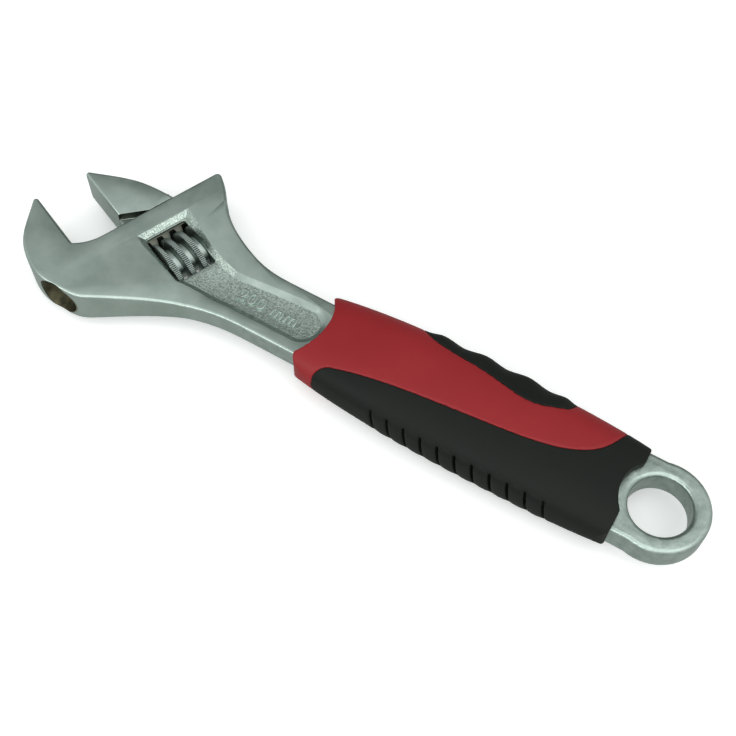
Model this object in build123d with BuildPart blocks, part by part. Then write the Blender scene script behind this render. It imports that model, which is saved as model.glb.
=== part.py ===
from build123d import *
import math
import os

# An adjustable wrench of the 200 mm size with a two-material grip. All sizes are in millimetres.
#
# The origin is the centre of the hanging hole at mid-thickness. +X runs up the handle to the jaws,
# +Z stands out of the upper face, and the fixed jaw is on the +Y side. The wrench is the same on
# both faces. The head is turned by HEAD_ANGLE and has its own two coordinates, measured from the
# origin: "reach" runs out of the mouth, and "span" runs from the sliding jaw to the fixed jaw.

# Head
HEAD_ANGLE = 22.5
HEAD_THICK = 11.8
SLIDE_REACH = 151.5  # the straight slide that the moving jaw rests on
JAW_REACH = 175.6  # where both jaw tips would end if they were sharp
FIXED_FACE = 76.8  # span of the fixed jaw's face
FAR_TIP_SPAN = 29.8  # span of the head's tip behind the moving jaw
MOUTH_OPENING = 15.3  # as the wrench is set here
MOUTH_CORNER_RISE = 2.7  # the mouth curves up to the fixed jaw by this
MOUTH_CURVE_RUN = 8.0
JAW_TIP_ROUND = 0.9
FAR_TIP_ROUND = 1.3
MOUTH_CORNER_ROUND = 0.8

# Thickness steps from the shank up to the head
SHANK_THICK = 6.9
RAMP_START_REACH = 120.0
RAMP_END_REACH = 141.5

# Shank and eye
SHANK_WIDTH = 19.2
SHANK_FRONT = 117.0
TANG_REAR = 12.0
EDGE_ROUND = 0.9
HOLE_RADIUS = 8.0
EYE_RADIUS = 12.7
EYE_WIDTH = 24.6
EYE_THICK = 8.2
EYE_ROUND = 1.3

# Sunk panel on both faces
PANEL_DEPTH = 1.1
PANEL_SLOPE_RUN = 1.5

# Worm window, worm, pin and spring
WINDOW_REACH = (126.8, 143.0)
WINDOW_SPAN = (47.3, 59.9)
WORM_REACH = 135.0
WORM_SPAN = (47.5, 59.3)
WORM_RADIUS = 7.4
WORM_ROOT_RADIUS = 4.6
WORM_LEAD = 4.0
THREAD_CREST = 1.3
THREAD_BASE = 2.6
CREST_AT_RACK = 51.9  # span of one thread crest where it faces the rack
THREAD_TURNS = 5
TURNS_BEHIND = 2
THREAD_SUNK = 0.3  # how deep the thread's foot sits in the core
PIN_RADIUS = 2.0
PIN_FAR_END = 37.6
PIN_NEAR_END = 66.0
PIN_HEAD_RADIUS = 3.0
PIN_HEAD_LENGTH = 2.4
PIN_SLOT_WIDTH = 0.8
PIN_SLOT_DEPTH = 0.9
RUNNING_CLEARANCE = 0.05
SPRING_POCKET_RADIUS = 3.6
SPRING_POCKET_DEPTH = 3.4
SPRING_WIRE = 0.6
SPRING_RADIUS = 2.75
SPRING_TURNS = 3

# The rail's bore opens in a cone on the back of the fixed jaw
CONE_SPAN = (82.5, 91.0)
CONE_MOUTH_RADIUS = 6.7

# Moving jaw and its rail
RAIL_REACH = 144.0
RAIL_RADIUS = 4.2
RAIL_BEHIND_FACE = 26.5
RAIL_AHEAD_OF_FACE = 7.0
RACK_ROOT_REACH = 142.75
RACK_GAP_AT_MOUTH = 2.8
RACK_GAP_AT_ROOT = 1.6
RACK_GAPS = 9
RACK_GAPS_BEHIND = 4  # behind the crest that CREST_AT_RACK gives
WEB_THICK = 5.8
SLOT_THICK = 6.0
JAW_THICK = 10.8
JAW_BASE = 16.2
JAW_RELIEF_RUN = 8.0
JAW_RELIEF_RISE = 3.8
SLIDE_CLEARANCE = 0.05
EDGE_BREAK = 0.3

# Grip
GRIP_REAR = 8.0
GRIP_FRONT = 100.4
# Station along the handle, half width, half thickness
GRIP_SECTIONS = (
    (GRIP_REAR, 14.1, 6.7),
    (20.0, 14.8, 8.5),
    (35.0, 15.2, 9.2),
    (55.0, 15.4, 9.3),
    (75.0, 14.9, 9.0),
    (88.0, 14.0, 8.0),
    (GRIP_FRONT, 12.5, 6.3),
)
GRIP_HALF_WIDTH = 15.2  # at the rib slots and the finger scallops
SECTION_POWER = 2.8
SECTION_POINTS = 20
BUTT_SCOOP_RADIUS = 10.9
FRONT_SCOOP_RADIUS = 15.0
FRONT_SCOOP_CENTRE = (111.5, -0.5)
PAD_THICK = 2.0
PAD_CORE_REAR = 12.5
RIB_SLOTS = 11
RIB_PITCH = 4.92
RIB_FIRST = 24.3
RIB_SLOT_WIDTH = 0.7
RIB_SLOT_HEIGHT = 9.0
RIB_SLOT_DEPTH = 1.0
SCALLOP_STATIONS = (37.5, 49.9, 62.3)
SCALLOP_RADIUS = 13.0
SCALLOP_DEPTH = 0.9

turn = math.radians(HEAD_ANGLE)
REACH_DIR = (math.cos(turn), -math.sin(turn), 0)
SPAN_DIR = (math.sin(turn), math.cos(turn), 0)
JAW_FACE = FIXED_FACE - MOUTH_OPENING
LONG = 200.0  # further than the head reaches
GRIP_BEYOND = 20.0  # further than the grip stands out from its middle
OVERCUT = 0.5


def head(reach, span, z=0.0):
    """The point of the wrench's frame at a reach and span of the head."""
    x = reach * REACH_DIR[0] + span * SPAN_DIR[0]
    y = reach * REACH_DIR[1] + span * SPAN_DIR[1]
    return (x, y, z)


def across(reach, span):
    """A plane square to the jaw's travel, facing the fixed jaw, with its X along the reach."""
    return Plane(origin=head(reach, span), x_dir=REACH_DIR, z_dir=SPAN_DIR)


def thickness_profile(inset):
    """The side outline of shank, ramp and head, with both faces moved in by an inset."""
    shank = SHANK_THICK / 2 - inset
    crown = HEAD_THICK / 2 - inset
    with BuildSketch(side_plane) as profile:
        with BuildLine():
            Polyline(
                (0, -shank),
                (0, shank),
                (RAMP_START_REACH, shank),
                (RAMP_END_REACH, crown),
                (LONG, crown),
                (LONG, -crown),
                (RAMP_END_REACH, -crown),
                (RAMP_START_REACH, -shank),
                close=True,
            )
        make_face()
    return profile.sketch


def surface_height(edge):
    """How far an edge's middle lies below the outer surface of shank, ramp and head."""
    middle = edge.position_at(0.5)
    reach = middle.X * REACH_DIR[0] + middle.Y * REACH_DIR[1]
    share = (reach - RAMP_START_REACH) / (RAMP_END_REACH - RAMP_START_REACH)
    share = min(1.0, max(0.0, share))
    half = SHANK_THICK / 2 + share * (HEAD_THICK - SHANK_THICK) / 2
    return half - abs(middle.Z)


head_plane = Plane(origin=(0, 0, 0), x_dir=REACH_DIR, z_dir=(0, 0, 1))
side_plane = Plane(origin=(0, 0, 0), x_dir=REACH_DIR, z_dir=Vector(SPAN_DIR) * -1)

# Wrench body: one forging, from the eye to the fixed jaw
with BuildSketch() as body_plan:
    with BuildLine():
        near_shank = Line((TANG_REAR, SHANK_WIDTH / 2), (SHANK_FRONT, SHANK_WIDTH / 2))
        near_flare = Spline(
            near_shank @ 1,
            (132.0, 11.5),
            (146.7, 18.0),
            (157.0, 24.1),
            (164.0, 26.0),
            tangents=((1, 0), (1, 0.02)),
        )
        jaw_back = Spline(
            near_flare @ 1,
            (174.6, 24.9),
            (182.4, 20.0),
            head(JAW_REACH, FIXED_FACE),
            tangents=((1, 0.02), (0.5, -1)),
        )
        fixed_face = Line(jaw_back @ 1, head(SLIDE_REACH + MOUTH_CORNER_RISE, FIXED_FACE))
        mouth_curve = TangentArc(
            head(SLIDE_REACH, FIXED_FACE - MOUTH_CURVE_RUN),
            fixed_face @ 1,
            tangent=SPAN_DIR,
        )
        slide = Line(mouth_curve @ 0, head(SLIDE_REACH, FAR_TIP_SPAN))
        far_flare = Spline(
            slide @ 1,
            (147.3, -26.9),
            (141.3, -20.0),
            (133.9, -14.8),
            (125.0, -11.2),
            (SHANK_FRONT - 5, -SHANK_WIDTH / 2),
            tangents=((-0.75, 0.66), (-1, 0)),
        )
        far_shank = Line(far_flare @ 1, (TANG_REAR, -SHANK_WIDTH / 2))
        Line(far_shank @ 1, near_shank @ 0)
    make_face()
    fillet(body_plan.vertices().sort_by_distance(head(JAW_REACH, FIXED_FACE))[0], JAW_TIP_ROUND)
    fillet(body_plan.vertices().sort_by_distance(head(SLIDE_REACH, FAR_TIP_SPAN))[0], FAR_TIP_ROUND)
    fillet(body_plan.vertices().sort_by_distance(fixed_face @ 1)[0], MOUTH_CORNER_ROUND)

with BuildPart() as blank:
    extrude(body_plan.sketch, amount=HEAD_THICK / 2, both=True)
    extrude(thickness_profile(0), amount=LONG, both=True, mode=Mode.INTERSECT)
    rim = blank.edges().filter_by(lambda e: surface_height(e) < 0.01)
    rim = rim.filter_by(lambda e: abs(e.tangent_at(0.5).dot(Vector(SPAN_DIR))) < 0.999)
    rim = rim.filter_by(lambda e: abs(e.tangent_at(0.5).dot(Vector(REACH_DIR))) < 0.999)
    fillet(rim, EDGE_ROUND)

# The eye is a thicker ring with straight sides that run in under the grip
with BuildPart() as eye:
    with BuildSketch() as eye_plan:
        Circle(EYE_RADIUS)
        with Locations((TANG_REAR / 2, 0)):
            Rectangle(TANG_REAR, EYE_WIDTH)
        with Locations((TANG_REAR + 4, 0)):
            Rectangle(8, SHANK_WIDTH)
        Circle(HOLE_RADIUS, mode=Mode.SUBTRACT)
    extrude(amount=EYE_THICK / 2, both=True)
    eye_rims = eye.edges().filter_by(lambda e: abs(e.center().Z) > EYE_THICK / 2 - 0.01)
    eye_rims = eye_rims.filter_by(lambda e: e.center().X < TANG_REAR)
    fillet(eye_rims.filter_by(lambda e: abs(e.tangent_at(0.5).Y) < 0.999 or e.center().X < 0), EYE_ROUND)

# The sunk panel runs from the grip to the worm window, on both faces. Its walls lean out, so its
# outline grows with height above the level of the shank's panel floor.
def panel_outline(height):
    """The panel's outline at a height above mid-thickness."""
    grow = (height - panel_floor) * PANEL_SLOPE_RUN / PANEL_DEPTH
    with BuildSketch(Plane.XY.offset(height)) as outline:
        with BuildLine():
            panel_end = ThreePointArc(
                (103.0, 4.7 + grow),
                (99.1 - grow, 0),
                (103.0, -4.9 - grow),
            )
            far_side = Spline(
                panel_end @ 1,
                (120.0, -3.8 - grow),
                (132.0, -3.4 - grow),
                head(140.3 + grow, 49.5 - grow),
                tangents=((1, 0), (0.9, -0.4)),
            )
            top_side = Line(far_side @ 1, head(140.3 + grow, 56.4 + grow))
            window_side = Line(top_side @ 1, head(127.0, 57.5 + grow))
            near_side = Spline(
                window_side @ 1,
                (130.0, 5.0 + grow),
                (122.0, 4.7 + grow),
                tangents=((-1, -0.1), (-1, 0)),
            )
            Line(near_side @ 1, panel_end @ 0)
        make_face()
    return outline.sketch


panel_floor = SHANK_THICK / 2 - PANEL_DEPTH
with BuildPart() as panel:
    loft([panel_outline(panel_floor - OVERCUT), panel_outline(HEAD_THICK / 2 + OVERCUT)], ruled=True)
    extrude(thickness_profile(PANEL_DEPTH), amount=LONG, both=True, mode=Mode.SUBTRACT)
    mirror(about=Plane.XY)

with BuildPart() as worm_parts_space:
    with BuildSketch(head_plane):
        with Locations((sum(WINDOW_REACH) / 2, sum(WINDOW_SPAN) / 2)):
            RectangleRounded(WINDOW_REACH[1] - WINDOW_REACH[0], WINDOW_SPAN[1] - WINDOW_SPAN[0], 0.8)
    extrude(amount=HEAD_THICK, both=True)
    with BuildSketch(across(WORM_REACH, 0)):
        Circle(PIN_RADIUS)
    extrude(amount=PIN_NEAR_END)
    with BuildSketch(across(WORM_REACH, 0)):
        Circle(PIN_HEAD_RADIUS + RUNNING_CLEARANCE)
    extrude(amount=PIN_FAR_END + PIN_HEAD_LENGTH)

with BuildPart() as rail_space:
    with BuildSketch(across(RAIL_REACH, 0)):
        Circle(RAIL_RADIUS + RUNNING_CLEARANCE)
    extrude(amount=LONG)
    slot_top = SLIDE_REACH + JAW_RELIEF_RISE + OVERCUT
    slot_end = FIXED_FACE + SLIDE_CLEARANCE
    with BuildSketch(head_plane):
        with Locations(((RAIL_REACH + slot_top) / 2, slot_end / 2)):
            Rectangle(slot_top - RAIL_REACH, slot_end)
    extrude(amount=SLOT_THICK / 2, both=True)

with BuildPart() as bore_cone:
    with BuildSketch(across(RAIL_REACH, CONE_SPAN[0])):
        Circle(RAIL_RADIUS + RUNNING_CLEARANCE)
    with BuildSketch(across(RAIL_REACH, CONE_SPAN[1])):
        Circle(CONE_MOUTH_RADIUS)
    loft()

with BuildPart() as wrench_body:
    add(blank.part)
    add(eye.part)
    add(panel.part, mode=Mode.SUBTRACT)
    add(worm_parts_space.part, mode=Mode.SUBTRACT)
    add(rail_space.part, mode=Mode.SUBTRACT)
    add(bore_cone.part, mode=Mode.SUBTRACT)

# Moving jaw: wedge, web and round rail with rack teeth, in one piece
with BuildPart() as sliding_jaw:
    foot = SLIDE_REACH + SLIDE_CLEARANCE
    with BuildSketch(head_plane) as jaw_plan:
        with BuildLine():
            jaw_foot = Line((foot, JAW_FACE - JAW_BASE), (foot, JAW_FACE - JAW_RELIEF_RUN))
            relief = Line(jaw_foot @ 1, (foot + JAW_RELIEF_RISE, JAW_FACE))
            jaw_face = Line(relief @ 1, (JAW_REACH, JAW_FACE))
            jaw_outer = Spline(
                jaw_face @ 1,
                (170.0, JAW_FACE - 5.1),
                (162.0, JAW_FACE - 11.5),
                jaw_foot @ 0,
                tangents=((-1, -0.85), (-1, -0.4)),
            )
        make_face()
        fillet(jaw_plan.vertices().sort_by_distance(jaw_face @ 1)[0], JAW_TIP_ROUND)
    extrude(amount=JAW_THICK / 2, both=True)
    jaw_edges = sliding_jaw.edges().filter_by(
        lambda e: abs(e.center().Z) > JAW_THICK / 2 - 0.01
    )
    jaw_back_edges = jaw_edges.filter_by(
        lambda e: abs(e.tangent_at(0.5).dot(Vector(SPAN_DIR))) < 0.95 and e.length > 16
    )
    fillet(jaw_back_edges, EDGE_ROUND)
    web_top = SLIDE_REACH + JAW_RELIEF_RISE
    with BuildSketch(head_plane):
        with Locations(((RAIL_REACH + web_top) / 2, JAW_FACE - JAW_BASE / 2)):
            Rectangle(web_top - RAIL_REACH, JAW_BASE)
    extrude(amount=WEB_THICK / 2, both=True)
    with BuildSketch(across(RAIL_REACH, JAW_FACE - RAIL_BEHIND_FACE)):
        Circle(RAIL_RADIUS)
    extrude(amount=RAIL_BEHIND_FACE + RAIL_AHEAD_OF_FACE)
    # Rack gaps stand a lead apart, in step with the worm's crests
    first_gap = CREST_AT_RACK - RACK_GAPS_BEHIND * WORM_LEAD
    gap_mouth = RAIL_REACH - RAIL_RADIUS - 1
    lean = (RACK_GAP_AT_MOUTH - RACK_GAP_AT_ROOT) / 2 / (RACK_ROOT_REACH - RAIL_REACH + RAIL_RADIUS)
    mouth_half = RACK_GAP_AT_MOUTH / 2 + lean
    with BuildSketch(head_plane):
        for gap in range(RACK_GAPS):
            middle = first_gap + gap * WORM_LEAD
            with BuildLine():
                Polyline(
                    (gap_mouth, middle - mouth_half),
                    (gap_mouth, middle + mouth_half),
                    (RACK_ROOT_REACH, middle + RACK_GAP_AT_ROOT / 2),
                    (RACK_ROOT_REACH, middle - RACK_GAP_AT_ROOT / 2),
                    close=True,
                )
            make_face()
    extrude(amount=RAIL_RADIUS + 1, both=True, mode=Mode.SUBTRACT)

# Thumb worm: a right-hand thread on a hollow core
worm_length = WORM_SPAN[1] - WORM_SPAN[0]
thread_start = CREST_AT_RACK - TURNS_BEHIND * WORM_LEAD
with BuildPart() as thread:
    with BuildLine() as thread_path:
        Helix(
            WORM_LEAD,
            THREAD_TURNS * WORM_LEAD,
            WORM_RADIUS,
            center=head(WORM_REACH, thread_start),
            direction=SPAN_DIR,
        )
    root = WORM_REACH + WORM_ROOT_RADIUS - THREAD_SUNK
    crest = WORM_REACH + WORM_RADIUS
    with BuildSketch(head_plane):
        with BuildLine():
            Polyline(
                (root, thread_start - THREAD_BASE / 2),
                (root, thread_start + THREAD_BASE / 2),
                (crest, thread_start + THREAD_CREST / 2),
                (crest, thread_start - THREAD_CREST / 2),
                close=True,
            )
        make_face()
    sweep(path=thread_path.line, is_frenet=True)
    with BuildSketch(across(WORM_REACH, WORM_SPAN[0])):
        Circle(WORM_RADIUS + 1)
    extrude(amount=worm_length, mode=Mode.INTERSECT)

with BuildPart() as adjusting_worm:
    with BuildSketch(across(WORM_REACH, WORM_SPAN[0])):
        Circle(WORM_ROOT_RADIUS)
        Circle(PIN_RADIUS + RUNNING_CLEARANCE, mode=Mode.SUBTRACT)
    extrude(amount=worm_length)
    add(thread.part)
    with BuildSketch(across(WORM_REACH, WORM_SPAN[1] - SPRING_POCKET_DEPTH)):
        Circle(SPRING_POCKET_RADIUS)
    extrude(amount=SPRING_POCKET_DEPTH, mode=Mode.SUBTRACT)

# Pin, put in from the far side, with a slotted head
with BuildPart() as worm_pin:
    with BuildSketch(across(WORM_REACH, PIN_FAR_END)):
        Circle(PIN_RADIUS)
    extrude(amount=PIN_NEAR_END - PIN_FAR_END)
    with BuildSketch(across(WORM_REACH, PIN_FAR_END)):
        Circle(PIN_HEAD_RADIUS)
    extrude(amount=PIN_HEAD_LENGTH)
    chamfer(worm_pin.edges().sort_by(Axis(head(WORM_REACH, 0), SPAN_DIR))[0], EDGE_BREAK)
    with BuildSketch(across(WORM_REACH, PIN_FAR_END)):
        Rectangle(PIN_SLOT_WIDTH, 2 * PIN_HEAD_RADIUS)
    extrude(amount=PIN_SLOT_DEPTH, mode=Mode.SUBTRACT)

# Spring in the worm's pocket, pressing on the window's near wall
with BuildPart() as worm_spring:
    spring_start = WORM_SPAN[1] - SPRING_POCKET_DEPTH + SPRING_WIRE / 2 + RUNNING_CLEARANCE
    spring_run = WINDOW_SPAN[1] - SPRING_WIRE / 2 - RUNNING_CLEARANCE - spring_start
    with BuildLine() as coil:
        Helix(
            spring_run / SPRING_TURNS,
            spring_run,
            SPRING_RADIUS,
            center=head(WORM_REACH, spring_start),
            direction=SPAN_DIR,
        )
    with BuildSketch(Plane(origin=coil.line @ 0, z_dir=coil.line % 0)):
        Circle(SPRING_WIRE / 2)
    sweep(path=coil.line, is_frenet=True)

# Grip: one outer shape, shared out between the red core and the two black pads
def grip_station(x, half_width, half_height):
    """A rounded-square cross-section of the grip at a station along the handle."""
    points = []
    for step in range(SECTION_POINTS):
        angle = 2 * math.pi * (step + 0.5) / SECTION_POINTS
        y = math.copysign(abs(math.cos(angle)) ** (2 / SECTION_POWER), math.cos(angle))
        z = math.copysign(abs(math.sin(angle)) ** (2 / SECTION_POWER), math.sin(angle))
        points.append((half_width * y, half_height * z))
    with BuildSketch(Plane.YZ.offset(x)) as station:
        with BuildLine():
            Spline(*points, periodic=True)
        make_face()
    return station.sketch


with BuildPart() as grip_shape:
    loft([grip_station(x, width, height) for x, width, height in GRIP_SECTIONS])
    with BuildSketch() as scoops:
        Circle(BUTT_SCOOP_RADIUS)
        with Locations(FRONT_SCOOP_CENTRE):
            Circle(FRONT_SCOOP_RADIUS)
    extrude(amount=LONG, both=True, mode=Mode.SUBTRACT)

with BuildPart() as pad_backing:
    loft(
        [
            grip_station(max(x, PAD_CORE_REAR), width - PAD_THICK, height - PAD_THICK)
            for x, width, height in GRIP_SECTIONS
        ]
    )


# The palm pad covers the near side and the butt, from a round nose behind the front lip
with BuildPart() as palm_space:
    with BuildSketch() as palm_plan:
        with BuildLine():
            palm_edge = Spline(
                (88.0, 9.6),
                (65.0, 6.2),
                (40.0, 3.6),
                (27.0, 0.8),
                (18.5, -5.0),
                (14.5, -16.0),
                tangents=((-1, -0.2), (-0.2, -1)),
            )
            palm_nose = ThreePointArc((88.0, 20.0), (93.0, 14.5), (88.0, 9.6))
            Polyline(palm_edge @ 1, (0, -16.0), (0, 20.0), palm_nose @ 0)
        make_face()
    extrude(amount=GRIP_BEYOND, both=True)
    add(grip_shape.part, mode=Mode.INTERSECT)
    add(pad_backing.part, mode=Mode.SUBTRACT)

with BuildPart() as grip_palm_pad:
    add(palm_space.part)
    add(wrench_body.part, mode=Mode.SUBTRACT)
    rib_middle = RIB_FIRST + (RIB_SLOTS - 1) * RIB_PITCH / 2
    with BuildSketch(Plane.XZ.offset(-GRIP_BEYOND)):
        with Locations((rib_middle, 0)):
            with GridLocations(RIB_PITCH, 1, RIB_SLOTS, 1):
                Rectangle(RIB_SLOT_WIDTH, RIB_SLOT_HEIGHT)
    extrude(amount=GRIP_BEYOND - GRIP_HALF_WIDTH + RIB_SLOT_DEPTH, mode=Mode.SUBTRACT)

# The finger pad is a lens on the far side, with shallow scallops for the fingers
with BuildPart() as finger_space:
    with BuildSketch() as finger_plan:
        with BuildLine():
            finger_edge = Spline(
                (75.0, -14.5),
                (70.0, -11.3),
                (60.0, -9.6),
                (48.0, -7.9),
                (38.0, -7.2),
                (31.5, -10.0),
                (29.0, -15.0),
                tangents=((-1, 1.0), (-0.3, -1)),
            )
            Polyline(finger_edge @ 1, (29.0, -20.0), (75.0, -20.0), finger_edge @ 0)
        make_face()
    extrude(amount=GRIP_BEYOND, both=True)
    add(grip_shape.part, mode=Mode.INTERSECT)
    add(pad_backing.part, mode=Mode.SUBTRACT)

with BuildPart() as grip_finger_pad:
    add(finger_space.part)
    with BuildSketch() as scallops:
        for station in SCALLOP_STATIONS:
            with Locations((station, SCALLOP_DEPTH - GRIP_HALF_WIDTH - SCALLOP_RADIUS)):
                Circle(SCALLOP_RADIUS)
    extrude(amount=GRIP_BEYOND, both=True, mode=Mode.SUBTRACT)

with BuildPart() as grip_core:
    add(grip_shape.part)
    add(wrench_body.part, mode=Mode.SUBTRACT)
    add(palm_space.part, mode=Mode.SUBTRACT)
    add(finger_space.part, mode=Mode.SUBTRACT)

pieces = {
    "wrench_body": wrench_body,
    "sliding_jaw": sliding_jaw,
    "adjusting_worm": adjusting_worm,
    "worm_pin": worm_pin,
    "worm_spring": worm_spring,
    "grip_core": grip_core,
    "grip_palm_pad": grip_palm_pad,
    "grip_finger_pad": grip_finger_pad,
}
os.makedirs("parts", exist_ok=True)
for name, piece in pieces.items():
    piece.part.label = name
    export_step(piece.part, f"parts/{name}.step")
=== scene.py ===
"""The looks of an adjustable wrench: plated forging, moving jaw, thumb worm and a two-material grip."""

import math

import bmesh
import bpy
from mathutils import Matrix, Vector


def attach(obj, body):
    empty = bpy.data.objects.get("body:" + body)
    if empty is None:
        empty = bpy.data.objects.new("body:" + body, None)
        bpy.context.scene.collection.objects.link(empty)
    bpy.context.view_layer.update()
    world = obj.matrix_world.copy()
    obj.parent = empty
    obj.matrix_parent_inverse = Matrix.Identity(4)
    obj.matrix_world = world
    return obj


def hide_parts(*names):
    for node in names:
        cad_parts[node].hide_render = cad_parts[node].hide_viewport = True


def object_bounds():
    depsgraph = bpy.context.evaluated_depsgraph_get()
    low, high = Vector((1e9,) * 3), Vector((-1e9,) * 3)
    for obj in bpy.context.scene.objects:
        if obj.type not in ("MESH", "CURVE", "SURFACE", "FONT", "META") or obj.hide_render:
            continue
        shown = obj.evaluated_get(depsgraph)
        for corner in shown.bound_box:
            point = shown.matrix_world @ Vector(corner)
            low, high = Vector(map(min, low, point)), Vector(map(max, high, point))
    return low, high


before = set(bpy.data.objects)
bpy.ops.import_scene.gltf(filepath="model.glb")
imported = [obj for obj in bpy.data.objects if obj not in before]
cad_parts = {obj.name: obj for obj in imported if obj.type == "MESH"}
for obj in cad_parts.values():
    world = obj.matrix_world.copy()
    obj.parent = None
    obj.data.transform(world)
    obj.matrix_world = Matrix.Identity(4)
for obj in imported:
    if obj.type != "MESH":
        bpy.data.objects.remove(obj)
CAD_LOW, CAD_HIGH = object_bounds()

MM = 0.001
HEAD_ANGLE = math.radians(22.5)
REACH_DIR = Vector((math.cos(HEAD_ANGLE), -math.sin(HEAD_ANGLE), 0))
SPAN_DIR = Vector((math.sin(HEAD_ANGLE), math.cos(HEAD_ANGLE), 0))

# Thickness of shank, ramp and head, and the sunk panel, in millimetres
SHANK_HALF = 3.45
HEAD_HALF = 5.9
RAMP_REACH = (120.0, 141.5)
PANEL_DEPTH = 1.1
# How far the panel can spread from the handle's centre line: station, near side, far side
PANEL_LIMITS = ((97, 7.4, -7.4), (123, 7.8, -8.0), (132, 9.4, -10.0), (141, 12.5, -15.4), (156, 13.5, -19.0))
PANEL_FROM, PANEL_TO = 97.0, 156.0
SMOOTH_WALL_TO = 128.0

# Rail bore through the head
RAIL_REACH = 144.0
RAIL_RADIUS = 4.2
JAW_FOOT_REACH = 150.2
BORE_RADIUS = 4.25
CONE_SPAN = (82.5, 91.0)
CONE_MOUTH_RADIUS = 6.7

# The eye's ring ends under the grip
EYE_END = 20.0

# Worm
WORM_REACH = 135.0
WORM_SPAN = (47.5, 59.3)
WORM_RADIUS = 7.4
WORM_ROOT_RADIUS = 4.6
WORM_BORE_RADIUS = 2.05
WORM_LEAD = 4.0
CREST_AT_RACK = 51.9
CREST_HALF = 0.72
BASE_HALF = 1.32
POCKET_RADIUS = 3.6
POCKET_DEPTH = 3.4
KNURLS = 80
KNURL_DEPTH = 0.2
STEPS_PER_KNURL = 4
WORM_ROWS = 118

# Grip
RIB_FIRST = 24.3
RIB_PITCH = 4.92
RIB_SLOTS = 11
RIB_CROWN = 0.15
RIB_SINK = 0.1
RIB_SLOT_SINK = 0.6
SLOT_SLANT = 0.17
GRIP_FRONT = 100.4
GRIP_FRONT_HALF = 12.5
LIP_ROUND = 3.4
GRIP_REAR = 8.0
GRIP_REAR_HALF = 14.2
BUTT_ROUND = 2.4
SCALLOPS = (37.5, 49.9, 62.3)

# Raised size mark on the panel floor
MARK_AT = (114.5, 0.4)
MARK_SIZE = 5.4

# Widths of the broken edges
BODY_EDGE = 0.16
JAW_EDGE = 0.14
PIN_EDGE = 0.08

# Camera and stage, in metres
MIDDLE = Vector((0.085, 0, 0))
CAMERA_AT = (0.00298, 0.1381, 0.2622)
CAMERA_LOOK = (0.258, -0.434, -0.863)
CAMERA_ROLL = 0.40
CAMERA_LENS = 56.53
CAMERA_SHIFT = (0.0077, 0.0211)
FLOOR_GAP = 0.0002
# The studio grows brighter along this direction, between two strengths
GLOW_DIR = (-0.52, 0.9, 0)
GLOW_FROM, GLOW_TO = (-0.76, 0.18), (-0.50, 0.80)
BACKDROP_STRENGTH = 0.95


# ---------------------------------------------------------------- materials

def srgb(red, green, blue):
    """A paint colour given as 0-255 values, as the renderer's linear colour."""
    return tuple(((c / 255 + 0.055) / 1.055) ** 2.4 for c in (red, green, blue)) + (1.0,)


def new_group(name, inputs, outputs):
    """An empty node group with named sockets: (name, kind, default)."""
    group = bpy.data.node_groups.new(name, "ShaderNodeTree")
    for label, kind, default in inputs:
        socket = group.interface.new_socket(label, in_out="INPUT", socket_type=kind)
        if default is not None:
            socket.default_value = default
    for label, kind in outputs:
        group.interface.new_socket(label, in_out="OUTPUT", socket_type=kind)
    return group, group.nodes.new("NodeGroupInput"), group.nodes.new("NodeGroupOutput")


def add_noise(tree, detail=3.0, roughness=0.55):
    noise = tree.nodes.new("ShaderNodeTexNoise")
    noise.inputs["Detail"].default_value = detail
    noise.inputs["Roughness"].default_value = roughness
    return noise


def make_grain_group():
    """Fine surface grain: a bumped normal from noise of a given scale."""
    group, source, sink = new_group(
        "fine_grain",
        [("Scale", "NodeSocketFloat", 4000.0), ("Strength", "NodeSocketFloat", 0.2),
         ("Depth", "NodeSocketFloat", 0.00005)],
        [("Normal", "NodeSocketVector"), ("Height", "NodeSocketFloat")],
    )
    place = group.nodes.new("ShaderNodeTexCoord")
    noise = add_noise(group)
    bump = group.nodes.new("ShaderNodeBump")
    link = group.links.new
    link(place.outputs["Object"], noise.inputs["Vector"])
    link(source.outputs["Scale"], noise.inputs["Scale"])
    link(noise.outputs["Fac"], bump.inputs["Height"])
    link(source.outputs["Strength"], bump.inputs["Strength"])
    link(source.outputs["Depth"], bump.inputs["Distance"])
    link(bump.outputs["Normal"], sink.inputs["Normal"])
    link(noise.outputs["Fac"], sink.inputs["Height"])
    return group


def make_cloud_group():
    """Soft cloudy variation between two values, from noise of a given scale."""
    group, source, sink = new_group(
        "cloudy",
        [("Scale", "NodeSocketFloat", 60.0), ("Low", "NodeSocketFloat", 0.3),
         ("High", "NodeSocketFloat", 0.5)],
        [("Value", "NodeSocketFloat"), ("Mask", "NodeSocketFloat")],
    )
    place = group.nodes.new("ShaderNodeTexCoord")
    noise = add_noise(group, detail=5.0, roughness=0.6)
    spread = group.nodes.new("ShaderNodeMapRange")
    spread.inputs["From Min"].default_value = 0.35
    spread.inputs["From Max"].default_value = 0.65
    mask = group.nodes.new("ShaderNodeMapRange")
    mask.inputs["From Min"].default_value = 0.35
    mask.inputs["From Max"].default_value = 0.65
    link = group.links.new
    link(place.outputs["Object"], noise.inputs["Vector"])
    link(source.outputs["Scale"], noise.inputs["Scale"])
    link(noise.outputs["Fac"], spread.inputs["Value"])
    link(source.outputs["Low"], spread.inputs["To Min"])
    link(source.outputs["High"], spread.inputs["To Max"])
    link(noise.outputs["Fac"], mask.inputs["Value"])
    link(spread.outputs["Result"], sink.inputs["Value"])
    link(mask.outputs["Result"], sink.inputs["Mask"])
    return group


GRAIN = make_grain_group()
CLOUD = make_cloud_group()


def new_material(name, metallic=0.0):
    material = bpy.data.materials.new(name)
    material.use_nodes = True
    shader = material.node_tree.nodes["Principled BSDF"]
    shader.inputs["Metallic"].default_value = metallic
    return material, material.node_tree, shader


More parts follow.
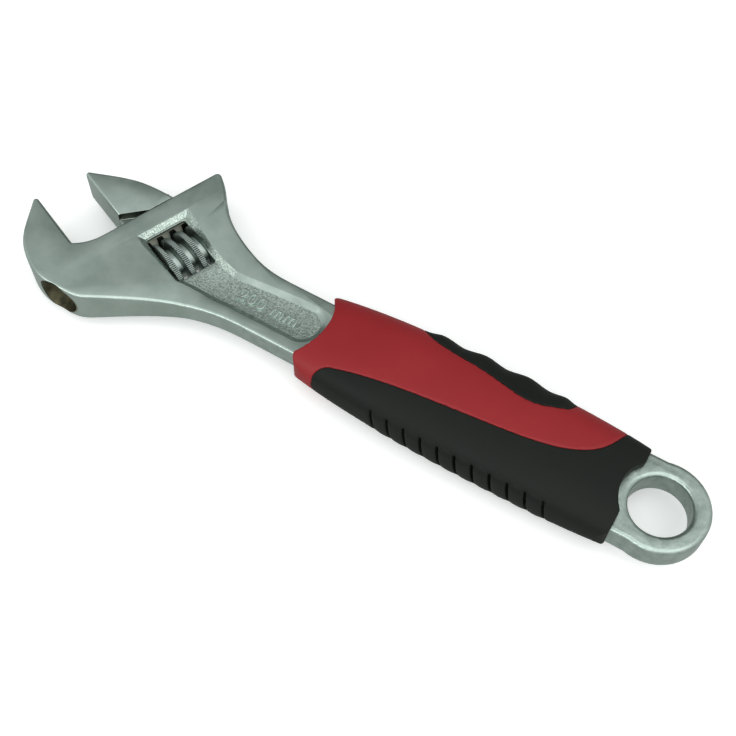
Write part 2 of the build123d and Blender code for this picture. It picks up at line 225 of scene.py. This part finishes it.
def place_group(tree, group, **values):
    node = tree.nodes.new("ShaderNodeGroup")
    node.node_tree = group
    for label, value in values.items():
        node.inputs[label].default_value = value
    return node


def mix_colours(tree, factor, low, high):
    """A colour mix; low and high are colours or sockets, factor is a socket."""
    mix = tree.nodes.new("ShaderNodeMix")
    mix.data_type = "RGBA"
    sockets = {"A": mix.inputs[6], "B": mix.inputs[7]}
    for label, value in (("A", low), ("B", high)):
        if isinstance(value, tuple):
            sockets[label].default_value = value
        else:
            tree.links.new(value, sockets[label])
    tree.links.new(factor, mix.inputs[0])
    return mix.outputs[2]


def finish_surface(tree, shader, grain, cloud, low, high):
    """Joins grain and cloudy variation to a shader's normal, roughness and colour."""
    tree.links.new(grain.outputs["Normal"], shader.inputs["Normal"])
    tree.links.new(cloud.outputs["Value"], shader.inputs["Roughness"])
    colour = mix_colours(tree, cloud.outputs["Mask"], low, high)
    tree.links.new(colour, shader.inputs["Base Color"])
    return colour


def plain_finish(name, low, high, rough, metallic=0.0, grain=(4000, 0.2, 0.00004), cloud_scale=60):
    """A finish with two close colours, a range of roughness and a fine grain."""
    material, tree, shader = new_material(name, metallic)
    grain_node = place_group(tree, GRAIN, Scale=grain[0], Strength=grain[1], Depth=grain[2])
    cloud_node = place_group(tree, CLOUD, Scale=cloud_scale, Low=rough[0], High=rough[1])
    finish_surface(tree, shader, grain_node, cloud_node, low, high)
    return material


def head_distance(tree, reach):
    """Sockets for the distance from a line through the head along the jaw's travel, and along it."""
    place = tree.nodes.new("ShaderNodeTexCoord")
    turn = tree.nodes.new("ShaderNodeMapping")
    turn.inputs["Rotation"].default_value = (0, 0, HEAD_ANGLE)
    turn.inputs["Location"].default_value = (-reach * MM, 0, 0)
    split = tree.nodes.new("ShaderNodeSeparateXYZ")
    across = tree.nodes.new("ShaderNodeCombineXYZ")
    length = tree.nodes.new("ShaderNodeVectorMath")
    length.operation = "LENGTH"
    link = tree.links.new
    link(place.outputs["Object"], turn.inputs["Vector"])
    link(turn.outputs["Vector"], split.inputs["Vector"])
    link(split.outputs["X"], across.inputs["X"])
    link(split.outputs["Z"], across.inputs["Z"])
    link(across.outputs["Vector"], length.inputs[0])
    return length.outputs["Value"], split.outputs["Y"]


def ramp_between(tree, value, start, end):
    """1 at start, fading to 0 at end."""
    node = tree.nodes.new("ShaderNodeMapRange")
    node.interpolation_type = "SMOOTHSTEP"
    node.inputs["From Min"].default_value = start
    node.inputs["From Max"].default_value = end
    node.inputs["To Min"].default_value = 1.0
    node.inputs["To Max"].default_value = 0.0
    tree.links.new(value, node.inputs["Value"])
    return node.outputs["Result"]


def multiply(tree, first, second):
    node = tree.nodes.new("ShaderNodeMath")
    node.operation = "MULTIPLY"
    tree.links.new(first, node.inputs[0])
    tree.links.new(second, node.inputs[1])
    return node.outputs["Value"]


def make_satin_chrome():
    """Satin nickel-chrome plate, thin and olive where the rail bore comes out."""
    material, tree, shader = new_material("satin_chrome", 1.0)
    grain = place_group(tree, GRAIN, Scale=3600, Strength=0.35, Depth=0.00004)
    cloud = place_group(tree, CLOUD, Scale=110, Low=0.27, High=0.38)
    plate = finish_surface(tree, shader, grain, cloud, srgb(162, 178, 170), srgb(180, 194, 187))
    away, along = head_distance(tree, RAIL_REACH)
    near_mouth = ramp_between(tree, away, 5.3 * MM, 5.8 * MM)
    jaw_back = ramp_between(tree, along, 90 * MM, 78 * MM)
    ring = multiply(tree, near_mouth, jaw_back)
    tree.links.new(mix_colours(tree, ring, plate, srgb(132, 128, 98)), shader.inputs["Base Color"])
    return material


def make_blasted_chrome():
    """The sunk panel's plate over a coarse blasted floor."""
    material, tree, shader = new_material("blasted_chrome", 1.0)
    grain = place_group(tree, GRAIN, Scale=2300, Strength=0.85, Depth=0.00014)
    cloud = place_group(tree, CLOUD, Scale=2300, Low=0.42, High=0.26)
    finish_surface(tree, shader, grain, cloud, srgb(128, 144, 135), srgb(206, 220, 212))
    return material


def make_forged_chrome():
    """The eye's plate over a coarser forged skin."""
    material, tree, shader = new_material("forged_chrome", 1.0)
    grain = place_group(tree, GRAIN, Scale=1500, Strength=0.4, Depth=0.00012)
    cloud = place_group(tree, CLOUD, Scale=420, Low=0.28, High=0.38)
    finish_surface(tree, shader, grain, cloud, srgb(156, 171, 164), srgb(180, 194, 187))
    return material


def make_bare_bore():
    """The rail bore's wall: unplated, oily, with fine boring rings."""
    material, tree, shader = new_material("bare_bore", 0.9)
    away, along = head_distance(tree, RAIL_REACH)
    rings = tree.nodes.new("ShaderNodeMath")
    rings.operation = "SINE"
    pitch = tree.nodes.new("ShaderNodeMath")
    pitch.operation = "MULTIPLY"
    pitch.inputs[1].default_value = 2 * math.pi / (0.5 * MM)
    bump = tree.nodes.new("ShaderNodeBump")
    bump.inputs["Strength"].default_value = 0.5
    bump.inputs["Distance"].default_value = 0.00006
    cloud = place_group(tree, CLOUD, Scale=300, Low=0.28, High=0.5)
    link = tree.links.new
    link(along, pitch.inputs[0])
    link(pitch.outputs["Value"], rings.inputs[0])
    link(rings.outputs["Value"], bump.inputs["Height"])
    link(bump.outputs["Normal"], shader.inputs["Normal"])
    link(cloud.outputs["Value"], shader.inputs["Roughness"])
    colour = mix_colours(tree, cloud.outputs["Mask"], srgb(44, 43, 32), srgb(92, 89, 68))
    link(colour, shader.inputs["Base Color"])
    return material


def make_worm_steel():
    """Machined steel, left plain in the thread's root, with painted shade darkening the knurl's grooves on
    the crest.
    """
    material, tree, shader = new_material("worm_steel", 1.0)
    grain = place_group(tree, GRAIN, Scale=6000, Strength=0.14, Depth=0.00003)
    cloud = place_group(tree, CLOUD, Scale=250, Low=0.26, High=0.38)
    steel = finish_surface(tree, shader, grain, cloud, srgb(140, 152, 148), srgb(164, 175, 170))
    # Painted shade: the knurl's grooves go dark towards their bottoms.
    knurl_groove_shade = tree.nodes.new("ShaderNodeAttribute")
    knurl_groove_shade.attribute_name = "knurl_shade"
    dark = mix_colours(tree, knurl_groove_shade.outputs["Fac"], steel, srgb(62, 70, 68))
    tree.links.new(dark, shader.inputs["Base Color"])
    return material


SATIN_CHROME = make_satin_chrome()
BLASTED_CHROME = make_blasted_chrome()
FORGED_CHROME = make_forged_chrome()
BARE_BORE = make_bare_bore()
WORM_STEEL = make_worm_steel()
PIN_STEEL = plain_finish("pin_steel", srgb(140, 148, 145), srgb(158, 166, 162), (0.28, 0.4), 1.0)
# Dark steel: partly the rail's own bare oily steel, partly painted shade on the jaw's walls that face the
# head.
OILED_RAIL_AND_SHADE = plain_finish("oiled_rail_and_shade", srgb(70, 72, 64), srgb(98, 101, 92), (0.34, 0.46), 1.0)
SPRING_STEEL = plain_finish("spring_steel", srgb(84, 88, 88), srgb(104, 108, 107), (0.3, 0.45), 1.0)
RED_PLASTIC = plain_finish(
    "red_plastic", srgb(136, 27, 32), srgb(143, 31, 36), (0.46, 0.54),
    grain=(5200, 0.22, 0.00005), cloud_scale=45,
)
BLACK_RUBBER = plain_finish(
    "black_rubber", srgb(17, 21, 18), srgb(22, 26, 22), (0.5, 0.62),
    grain=(4200, 0.3, 0.00006), cloud_scale=50,
)
for moulding_material, specular in ((RED_PLASTIC, 0.3), (BLACK_RUBBER, 0.17)):
    moulding_shader = moulding_material.node_tree.nodes["Principled BSDF"]
    moulding_shader.inputs["Specular IOR Level"].default_value = specular


# ------------------------------------------------------------------- pieces

def millimetres(point):
    return point.x / MM, point.y / MM, point.z / MM


def head_coordinates(point):
    """Reach, span and height of a point, in millimetres."""
    return point.dot(REACH_DIR) / MM, point.dot(SPAN_DIR) / MM, point.z / MM


def smooth_step(value, start, end):
    share = min(1.0, max(0.0, (value - start) / (end - start)))
    return share * share * (3 - 2 * share)


def open_copy(node):
    """A node's mesh as a bmesh, with its doubled vertices merged."""
    mesh = bmesh.new()
    mesh.from_mesh(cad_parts[node].data)
    bmesh.ops.remove_doubles(mesh, verts=mesh.verts, dist=0.001 * MM)
    mesh.normal_update()
    return mesh


def put_piece(mesh, name, materials, body, replaces=(), sharp_angle=40):
    """Makes an object of a bmesh, smooth shaded except at sharp edges, parents it to its body's empty and
    hides the parts it replaces.
    """
    data = bpy.data.meshes.new(name)
    mesh.to_mesh(data)
    mesh.free()
    if "custom_normal" in data.attributes:
        data.attributes.remove(data.attributes["custom_normal"])
    for material in materials:
        data.materials.append(material)
    data.shade_smooth()
    data.set_sharp_from_angle(angle=math.radians(sharp_angle))
    piece = bpy.data.objects.new(name, data)
    bpy.context.scene.collection.objects.link(piece)
    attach(piece, body)
    if replaces:
        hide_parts(*replaces)
    return piece


def soften_edges(mesh, width, angle=32, segments=2):
    """Rounds every sharp edge by a small width."""
    bmesh.ops.dissolve_limit(
        mesh, angle_limit=math.radians(0.3), verts=mesh.verts, edges=mesh.edges, delimit={"NORMAL"}
    )
    sharp = [e for e in mesh.edges if len(e.link_faces) == 2 and e.calc_face_angle(0) > math.radians(angle)]
    bmesh.ops.bevel(
        mesh, geom=sharp, offset=width * MM, affect="EDGES", segments=segments, profile=0.5,
        material=-1, clamp_overlap=False, offset_type="OFFSET",
    )


def half_thickness(reach):
    share = (reach - RAMP_REACH[0]) / (RAMP_REACH[1] - RAMP_REACH[0])
    return SHANK_HALF + min(1.0, max(0.0, share)) * (HEAD_HALF - SHANK_HALF)


def panel_limit(x, side):
    """How far the panel can spread on a side (1 near, 2 far) at a station."""
    for low, high in zip(PANEL_LIMITS, PANEL_LIMITS[1:]):
        if x <= high[0]:
            share = (x - low[0]) / (high[0] - low[0])
            return low[side] + share * (high[side] - low[side])
    return PANEL_LIMITS[-1][side]


def in_panel(face):
    centre = face.calc_center_median()
    x, y, z = millimetres(centre)
    steepest = 0.3 if x > SMOOTH_WALL_TO else 0.9
    if not PANEL_FROM < x < PANEL_TO or abs(face.normal.z) < steepest:
        return False
    depth = half_thickness(head_coordinates(centre)[0]) - abs(z)
    return 0.12 < depth < PANEL_DEPTH + 3 and panel_limit(x, 2) < y < panel_limit(x, 1)


def in_bore(face):
    """True on the round wall of the rail bore and on its conical mouth."""
    for vertex in face.verts:
        reach, span, height = head_coordinates(vertex.co)
        share = max(0.0, (span - CONE_SPAN[0]) / (CONE_SPAN[1] - CONE_SPAN[0]))
        radius = BORE_RADIUS + share * (CONE_MOUTH_RADIUS - BORE_RADIUS)
        if abs(math.hypot(reach - RAIL_REACH, height) - radius) > 0.06:
            return False
    return True


def in_eye(face):
    return face.calc_center_median().x < EYE_END * MM


def build_wrench_body():
    """The forging, with a blasted panel on both faces, a bare bore and a rougher eye."""
    mesh = open_copy("wrench_body")
    special = ((in_panel, BLASTED_CHROME), (in_bore, BARE_BORE), (in_eye, FORGED_CHROME))
    for face in mesh.faces:
        matches = [index for index, (test, _) in enumerate(special, 1) if test(face)]
        face.material_index = matches[0] if matches else 0
    soften_edges(mesh, BODY_EDGE)
    materials = [SATIN_CHROME] + [material for _, material in special]
    return put_piece(mesh, "forged_body", materials, "wrench", ["wrench_body"])


def on_rail_or_shaded_wall(face):
    """True on the jaw's round rail, its rack, its web and the foot's walls that face the head; these take
    the dark colour, the rail's own oily steel and painted shade on the walls facing the head.
    """
    reach, span, height = head_coordinates(face.calc_center_median())
    faces_head = face.normal.dot(REACH_DIR) < -0.6 and abs(face.normal.z) < 0.3
    round_rail = math.hypot(reach - RAIL_REACH, height) < RAIL_RADIUS + 0.05
    return faces_head or round_rail or reach < JAW_FOOT_REACH


def build_jaw():
    mesh = open_copy("sliding_jaw")
    for face in mesh.faces:
        # The second material is bare oily steel on the rail and painted shade on the walls facing the head.
        face.material_index = 1 if on_rail_or_shaded_wall(face) else 0
    soften_edges(mesh, JAW_EDGE)
    return put_piece(mesh, "moving_jaw", [SATIN_CHROME, OILED_RAIL_AND_SHADE], "jaw", ["sliding_jaw"])


def thread_radius(angle, span):
    """Radius of the worm's surface, and how much painted shade it gets in the knurl's grooves on the crest.
    """
    phase = (span - CREST_AT_RACK) / WORM_LEAD - angle / (2 * math.pi)
    off = abs(phase - round(phase)) * WORM_LEAD
    rise = 1 - smooth_step(off, CREST_HALF, BASE_HALF)
    radius = WORM_ROOT_RADIUS + rise * (WORM_RADIUS - WORM_ROOT_RADIUS)
    crest = 1 - smooth_step(off, CREST_HALF * 0.85, CREST_HALF * 1.15)
    groove = (0.5 - 0.5 * math.cos(KNURLS * angle)) ** 1.5
    return radius - crest * groove * KNURL_DEPTH, crest * groove


def build_worm():
    """The thumb worm: a profile spun round its axis, then drawn out into a knurled thread."""
    mesh = bmesh.new()
    far, near = WORM_SPAN
    pocket = near - POCKET_DEPTH
    outline = (
        (WORM_BORE_RADIUS, far), (WORM_ROOT_RADIUS, far), (WORM_ROOT_RADIUS, near), (POCKET_RADIUS, near),
        (POCKET_RADIUS, pocket), (WORM_BORE_RADIUS, pocket),
    )
    centre = REACH_DIR * WORM_REACH
    corners = [
        mesh.verts.new((centre + REACH_DIR * radius + SPAN_DIR * span) * MM) for radius, span in outline
    ]
    edges = [mesh.edges.new((a, b)) for a, b in zip(corners, corners[1:] + corners[:1])]
    bmesh.ops.subdivide_edges(mesh, edges=[edges[1]], cuts=WORM_ROWS - 1)
    bmesh.ops.spin(
        mesh, geom=mesh.verts[:] + mesh.edges[:], cent=centre * MM, axis=SPAN_DIR, dvec=(0, 0, 0),
        angle=2 * math.pi, steps=KNURLS * STEPS_PER_KNURL, use_merge=True, use_duplicate=False,
    )
    bmesh.ops.remove_doubles(mesh, verts=mesh.verts, dist=0.0005 * MM)
    bmesh.ops.recalc_face_normals(mesh, faces=mesh.faces)
    # A layer for the painted shade in the knurl's grooves.
    knurl_shade = mesh.verts.layers.float.new("knurl_shade")
    second = SPAN_DIR.cross(REACH_DIR)
    for vertex in mesh.verts:
        offset = vertex.co / MM - centre
        span = offset.dot(SPAN_DIR)
        side = offset - SPAN_DIR * span
        if side.length > WORM_ROOT_RADIUS - 0.1:
            radius, crest = thread_radius(math.atan2(side.dot(second), side.dot(REACH_DIR)), span)
            vertex.co = (centre + SPAN_DIR * span + side.normalized() * radius) * MM
            vertex[knurl_shade] = crest
    return put_piece(mesh, "thumb_worm", [WORM_STEEL], "worm", ["adjusting_worm"], 60)


def build_pin():
    mesh = open_copy("worm_pin")
    soften_edges(mesh, PIN_EDGE)
    return put_piece(mesh, "slotted_pin", [PIN_STEEL], "wrench", ["worm_pin"])


def build_spring():
    mesh = open_copy("worm_spring")
    return put_piece(mesh, "wire_spring", [SPRING_STEEL], "wrench", ["worm_spring"])


def moulded(node, voxel):
    """A node's shape as an even net of small faces with slightly rounded edges."""
    source = open_copy(node)
    data = bpy.data.meshes.new("moulding")
    source.to_mesh(data)
    source.free()
    blank = bpy.data.objects.new("moulding", data)
    bpy.context.scene.collection.objects.link(blank)
    remesh = blank.modifiers.new("net", "REMESH")
    remesh.mode = "VOXEL"
    remesh.voxel_size = voxel * MM
    bpy.context.view_layer.update()
    shaped = bpy.data.meshes.new_from_object(blank.evaluated_get(bpy.context.evaluated_depsgraph_get()))
    mesh = bmesh.new()
    mesh.from_mesh(shaped)
    bpy.data.objects.remove(blank)
    bpy.data.meshes.remove(shaped)
    bmesh.ops.smooth_vert(
        mesh, verts=mesh.verts, factor=0.5, use_axis_x=True, use_axis_y=True, use_axis_z=True
    )
    mesh.normal_update()
    return mesh


def rib_swell(x, y, z):
    """How far the palm pad's near wall stands out between its slots."""
    block = (x - RIB_FIRST) / RIB_PITCH
    if y < 8 or not -0.6 < block < RIB_SLOTS - 0.4:
        return 0.0
    share = block - math.floor(block)
    crown = 4 * share * (1 - share)
    ends = smooth_step(block, -0.6, 0.0) * (1 - smooth_step(block, RIB_SLOTS - 1, RIB_SLOTS - 0.4))
    height = 1 - smooth_step(abs(z), 4.2, 5.4)
    side = smooth_step(y, 8, 12)
    return (crown * RIB_CROWN - (1 - crown) * RIB_SINK) * height * ends * side


def slot_sink(x, y, z):
    """How far the floor of a rib slot is sunk below its moulded depth."""
    block = (x - RIB_FIRST) / RIB_PITCH
    nearest = round(block)
    if y < 12 or abs(z) > 4.4 or not 0 <= nearest < RIB_SLOTS:
        return 0.0
    return RIB_SLOT_SINK * (1 - smooth_step(abs(block - nearest) * RIB_PITCH, 0.2, 0.36))


def finger_swell(x, y, z):
    """How far the finger pad stands out between its scallops."""
    if y > -9:
        return 0.0
    swell = 0.0
    pitch = SCALLOPS[1] - SCALLOPS[0]
    crests = [SCALLOPS[0] - pitch / 2] + [station + pitch / 2 for station in SCALLOPS]
    for crest in crests:
        swell = max(swell, 1 - smooth_step(abs(x - crest), 0.0, pitch / 2))
    return 0.75 * swell * smooth_step(-y, 9, 14) * smooth_step(x, 29.5, 34) * (1 - smooth_step(x, 69, 75))


def slanted(x, y, z):
    """How far along the handle the near wall leans, so that its slots slant."""
    return SLOT_SLANT * z * smooth_step(y, 7, 12) * smooth_step(x, 14, 22) * (1 - smooth_step(x, 80, 90))


def rounded_corners(x, y, z):
    """The grip's station with the corners of its front lip and its butt rounded off."""
    front = GRIP_FRONT - LIP_ROUND * (1 - round_off(abs(y), GRIP_FRONT_HALF, LIP_ROUND))
    rear = GRIP_REAR + BUTT_ROUND * (1 - round_off(abs(y), GRIP_REAR_HALF, BUTT_ROUND))
    return min(front, max(rear, x))


def round_off(distance, half, radius):
    """1 along a straight end, falling to 0 round a corner of a given radius."""
    over = (distance - half + radius) / radius
    return math.sqrt(max(0.0, 1 - max(0.0, over) ** 2))


def build_moulding(node, name, material, voxel, swell=None, sink=None):
    mesh = moulded(node, voxel)
    if swell:
        for vertex in mesh.verts:
            place = millimetres(vertex.co)
            vertex.co += vertex.normal * swell(*place) * MM
            if sink:
                vertex.co.y -= sink(*place) * MM
                vertex.co.x += slanted(*place) * MM
    for vertex in mesh.verts:
        vertex.co.x = rounded_corners(*millimetres(vertex.co)) * MM
    return put_piece(mesh, name, [material], "wrench", [node], 75)


def build_size_mark(side):
    """Raised size mark on the panel floor; side is 1 for the upper face and -1 for the lower."""
    curve = bpy.data.curves.new("size_mark", "FONT")
    curve.body = "200 mm"
    curve.size = MARK_SIZE * MM
    curve.extrude = 0.30 * MM
    curve.bevel_depth = 0.1 * MM
    curve.bevel_resolution = 2
    curve.resolution_u = 6
    curve.space_character = 1.08
    curve.align_x = "CENTER"
    curve.align_y = "CENTER"
    writing = bpy.data.objects.new("size_mark", curve)
    bpy.context.scene.collection.objects.link(writing)
    bpy.context.view_layer.update()
    data = bpy.data.meshes.new_from_object(writing.evaluated_get(bpy.context.evaluated_depsgraph_get()))
    bpy.data.objects.remove(writing)
    mesh = bmesh.new()
    mesh.from_mesh(data)
    bpy.data.meshes.remove(data)
    bmesh.ops.remove_doubles(mesh, verts=mesh.verts, dist=0.001 * MM)
    if side > 0:
        turn = Matrix.Rotation(math.pi, 4, "Z")
    else:
        turn = Matrix.Rotation(math.pi, 4, "X")
    floor = (SHANK_HALF - PANEL_DEPTH + 0.1) * MM
    place = Matrix.Translation((MARK_AT[0] * MM, MARK_AT[1] * MM, side * floor))
    bmesh.ops.transform(mesh, matrix=place @ turn, verts=mesh.verts)
    name = "size_mark_upper" if side > 0 else "size_mark_lower"
    return put_piece(mesh, name, [SATIN_CHROME], "wrench")


build_wrench_body()
build_jaw()
build_worm()
build_pin()
build_spring()
build_moulding("grip_core", "red_grip", RED_PLASTIC, 0.4)
build_moulding("grip_palm_pad", "palm_pad", BLACK_RUBBER, 0.26, rib_swell, slot_sink)
build_moulding("grip_finger_pad", "finger_pad", BLACK_RUBBER, 0.25, finger_swell)
build_size_mark(1)
build_size_mark(-1)


# --------------------------------------------------- floor, light and camera

def build_floor():
    mesh = bmesh.new()
    bmesh.ops.create_grid(mesh, x_segments=4, y_segments=4, size=3.0)
    bmesh.ops.translate(mesh, vec=(0.09, 0, CAD_LOW.z - FLOOR_GAP), verts=mesh.verts)
    data = bpy.data.meshes.new("floor")
    mesh.to_mesh(data)
    mesh.free()
    floor = bpy.data.objects.new("floor", data)
    bpy.context.scene.collection.objects.link(floor)
    material, tree, shader = new_material("pale_floor_painted_shade_and_glow")
    # Pale to the camera but dark grey in reflections and bounced light: painted shade on the metal side
    # walls that mirror the floor.
    seen = tree.nodes.new("ShaderNodeLightPath").outputs["Is Camera Ray"]
    colour = mix_colours(tree, seen, (0.24, 0.25, 0.24, 1), (0.95, 0.95, 0.95, 1))
    tree.links.new(colour, shader.inputs["Base Color"])
    shader.inputs["Roughness"].default_value = 0.9
    # A faint glow over the whole floor, painted light that lifts its cast shadows.
    shader.inputs["Emission Color"].default_value = (0.95, 0.97, 0.96, 1)
    shader.inputs["Emission Strength"].default_value = 0.25
    data.materials.append(material)


def aim(thing, target):
    thing.rotation_euler = (Vector(target) - thing.location).to_track_quat("-Z", "Y").to_euler()


def build_light(name, place, target, size, power):
    data = bpy.data.lights.new(name, "AREA")
    data.shape = "RECTANGLE"
    data.size, data.size_y = size
    data.energy = power
    light = bpy.data.objects.new(name, data)
    light.location = place
    bpy.context.scene.collection.objects.link(light)
    aim(light, target)


def build_world():
    """A plain pale backdrop, seen in reflections as a soft glow from the near side and the butt."""
    world = bpy.data.worlds.new("studio")
    bpy.context.scene.world = world
    world.use_nodes = True
    tree = world.node_tree
    background = tree.nodes["Background"]
    background.inputs["Color"].default_value = (0.93, 0.96, 0.95, 1)
    place = tree.nodes.new("ShaderNodeTexCoord")
    share = tree.nodes.new("ShaderNodeVectorMath")
    share.operation = "DOT_PRODUCT"
    share.inputs[1].default_value = GLOW_DIR
    glow = tree.nodes.new("ShaderNodeMapRange")
    for end, (where, strength) in (("Min", GLOW_FROM), ("Max", GLOW_TO)):
        glow.inputs[f"From {end}"].default_value = where
        glow.inputs[f"To {end}"].default_value = strength
    seen = tree.nodes.new("ShaderNodeLightPath")
    backdrop = tree.nodes.new("ShaderNodeMix")
    backdrop.inputs["B"].default_value = BACKDROP_STRENGTH
    link = tree.links.new
    link(place.outputs["Generated"], share.inputs[0])
    link(share.outputs["Value"], glow.inputs["Value"])
    link(seen.outputs["Is Camera Ray"], backdrop.inputs["Factor"])
    link(glow.outputs["Result"], backdrop.inputs["A"])
    link(backdrop.outputs["Result"], background.inputs["Strength"])


def build_camera():
    """The camera stands over the near side and looks down along the wrench."""
    data = bpy.data.cameras.new("camera")
    data.lens = CAMERA_LENS
    data.sensor_width = 36.0
    data.shift_x, data.shift_y = CAMERA_SHIFT
    data.clip_start, data.clip_end = 0.01, 20
    camera = bpy.data.objects.new("camera", data)
    bpy.context.scene.collection.objects.link(camera)
    look = Vector(CAMERA_LOOK).normalized()
    sight = look.to_track_quat("-Z", "Y").to_matrix().to_4x4()
    roll = Matrix.Rotation(math.radians(CAMERA_ROLL), 4, "Z")
    camera.matrix_world = Matrix.Translation(CAMERA_AT) @ sight @ roll
    bpy.context.scene.camera = camera


build_floor()
build_world()
build_light("overhead_softbox", (-0.30, 0.25, 0.85), MIDDLE, (1.2, 1.2), 5.0)
build_light("front_softbox", (0.30, 0.75, 0.42), MIDDLE, (1.1, 0.25), 2.4)
build_camera()
bpy.context.scene.view_settings.view_transform = "Standard"
